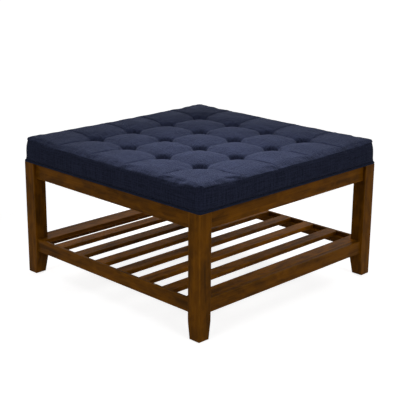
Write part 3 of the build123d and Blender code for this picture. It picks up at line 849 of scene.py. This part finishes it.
# The buttons' linen is given darker colours than the band's: painted shade in the dimples.
navy_button = woven(
    "navy_button", shade(9, 11, 20), shade(28, 32, 47), pitch=0.0009, slub=0.5, sheen=0.12,
    laid_along="Object",
)
buttons = grown("buttons", button_field(), {
    "Radius": button_radius,
    "Height": button_high.z - button_low.z,
    "Floor": button_low.z,
    "Pitch": tuft_pitch,
    "Count": tuft_count,
    "Gathers": 16.0,
    "Gather Depth": 0.0004,
    "Seed": 5,
    "Cloth": navy_button,
})
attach(buttons, "root")
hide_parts("tuft_buttons")


# Underside. The board is birch plywood, drilled for the twine. A thin black cloth, stapled
# under it, keeps the dust out. It sags a little and puckers between its staples.

leave_plain("cushion_board", "x")
dress("cover_staples", zinc_plating)
dress("twine_washers", zinc_plating)
waxed_twine = speckled("waxed_twine", shade(196, 184, 158), shade(168, 154, 126), roughness=0.6)
dress("tuft_twines", waxed_twine)

dust_low, dust_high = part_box("dust_cover")
dust_cells = 60
dust_sag, sag_power = 0.004, 2.5
dust_pucker, pucker_scale, pucker_slice, pucker_edge = 0.00025, 22, 3.0, 6
dust_half = dust_high.x
dust_line = np.linspace(-dust_half, dust_half, dust_cells + 1)
dust_x, dust_y = (grid.ravel() for grid in np.meshgrid(dust_line, dust_line, indexing="ij"))
slack = (1 - (dust_x / dust_half) ** 2) * (1 - (dust_y / dust_half) ** 2)
ripple = np.array([
    noise.noise(Vector((x * pucker_scale, y * pucker_scale, pucker_slice)))
    for x, y in zip(dust_x, dust_y)
])
dust_z = (dust_low.z + dust_high.z) / 2 - dust_sag * slack ** sag_power
dust_z = dust_z - dust_pucker * (1 + ripple) * smooth(slack * pucker_edge)
dust_points = np.column_stack([dust_x, dust_y, dust_z])
dust_faces = grid_faces(np.arange(len(dust_points)).reshape(dust_cells + 1, dust_cells + 1))
dust_mesh = cloth_mesh("dust_sheet", dust_points, dust_faces)
dust_mesh.materials.append(speckled(
    "dust_cloth", shade(18, 18, 20), shade(34, 34, 36), roughness=0.85, scale=700.0,
    bump_size=0.0002,
))
dust_sheet = bring_in("dust_sheet", dust_mesh)
finished(dust_sheet, "SOLIDIFY", thickness=dust_high.z - dust_low.z, offset=0)
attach(dust_sheet, "root")
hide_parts("dust_cover")


# Studio. A pale floor and a white background. A gridded soft lamp behind and above lights the
# front of the top, a weak low one behind lights the shelf, and soft fills come from the left
# and the front. The camera stands where the photograph was taken from.

def seen_directly(tree):
    """1 for a ray from the camera, off a gloss or through glass, and 0 for one that lights."""
    path = put(tree, "ShaderNodeLightPath").outputs
    seen = reckon(tree, "MAXIMUM", path["Is Camera Ray"], path["Is Glossy Ray"])
    return reckon(tree, "MAXIMUM", seen, path["Is Transmission Ray"])


half_floor = 20.0
floor_grey = 0.6
floor_glow = 0.81
floor_mesh = bpy.data.meshes.new("studio_floor")
floor_corners = [(-half_floor, -half_floor, 0), (half_floor, -half_floor, 0),
                 (half_floor, half_floor, 0), (-half_floor, half_floor, 0)]
floor_mesh.from_pydata(floor_corners, [], [(0, 1, 2, 3)])
floor = bring_in("studio_floor", floor_mesh)
paper, paper_tree, paper_shader = new_material("studio_paper")
feed(paper_tree, paper_shader, {
    "Base Color": (floor_grey, floor_grey, floor_grey, 1),
    "Roughness": 1.0,
    "Specular IOR Level": 0.0,
    "Emission Color": (1, 1, 1, 1),
    "Emission Strength": reckon(paper_tree, "MULTIPLY", seen_directly(paper_tree), floor_glow),
})
floor_mesh.materials.append(paper)

world_light = 0.24
world_seen = 1.0
world = bpy.data.worlds.new("studio")
bpy.context.scene.world = world
world.use_nodes = True
world_tree = world.node_tree
world_tree.nodes.clear()
feeds = {0: seen_directly(world_tree), 2: world_light, 3: world_seen}
strength = put(world_tree, "ShaderNodeMix", feeds).outputs[0]
feeds = {"Color": (1, 1, 1, 1), "Strength": strength}
background = put(world_tree, "ShaderNodeBackground", feeds)
put(world_tree, "ShaderNodeOutputWorld", {"Surface": background.outputs[0]})


def towards(azimuth, elevation):
    """The way out from the object at an azimuth and a height, both in degrees."""
    swing, rise = radians(azimuth), radians(elevation)
    return Vector((sin(swing) * cos(rise), -cos(swing) * cos(rise), sin(rise)))


def sun(name, azimuth, elevation, strength, softness):
    """A far light, softened over an angle, that comes from an azimuth and a height in degrees."""
    light = bpy.data.lights.new(name, "SUN")
    light.energy = strength
    light.angle = radians(softness)
    lamp = bring_in(name, light)
    lamp.rotation_euler = towards(azimuth, elevation).to_track_quat("Z", "Y").to_euler()


def softbox(name, aim, azimuth, elevation, distance, size, beam, power):
    """A square soft lamp, gridded to a beam, that faces a place from an azimuth and a height."""
    light = bpy.data.lights.new(name, "AREA")
    light.energy = power
    light.shape = "SQUARE"
    light.size = size
    light.spread = radians(beam)
    lamp = bring_in(name, light)
    lamp.visible_camera = False
    lamp.visible_glossy = False
    lamp.location = Vector(aim) + towards(azimuth, elevation) * distance
    lamp.rotation_euler = towards(azimuth, elevation).to_track_quat("Z", "Y").to_euler()


softbox(
    "key", (-0.26, -0.36, crown_height), azimuth=139, elevation=52, distance=1.7, size=0.5,
    beam=48, power=4.3,
)
shelf_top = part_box("shelf_slat_1")[1].z
softbox(
    "kicker", (0, 0, shelf_top), azimuth=135, elevation=12, distance=1.4, size=0.2, beam=80,
    power=3.8,
)
sun("left_fill", azimuth=-85, elevation=30, strength=0.5, softness=20)
sun("right_fill", azimuth=-5, elevation=30, strength=0.62, softness=20)

frame_pixels = 400
focal_pixels = 1013.6
eye_azimuth = -45.2
eye_elevation = 16.82
eye_roll = radians(0.44)
eye_distance = 3.2339
look_height = 0.230
eye_right = 0.0017
eye_up = 0.0136
back = towards(eye_azimuth, eye_elevation)
level = Vector((cos(radians(eye_azimuth)), sin(radians(eye_azimuth)), 0))
upward = back.cross(level)
right = level * cos(eye_roll) + upward * sin(eye_roll)
up = upward * cos(eye_roll) - level * sin(eye_roll)
eye = Vector((0, 0, look_height)) + back * eye_distance + right * eye_right + up * eye_up
camera_data = bpy.data.cameras.new("camera")
camera_data.sensor_width = 36.0
camera_data.lens = camera_data.sensor_width * focal_pixels / frame_pixels
camera = bring_in("camera", camera_data)
camera.matrix_world = Matrix((
    (right.x, up.x, back.x, eye.x),
    (right.y, up.y, back.y, eye.y),
    (right.z, up.z, back.z, eye.z),
    (0, 0, 0, 1),
))
bpy.context.scene.camera = camera
bpy.context.scene.view_settings.view_transform = "Standard"
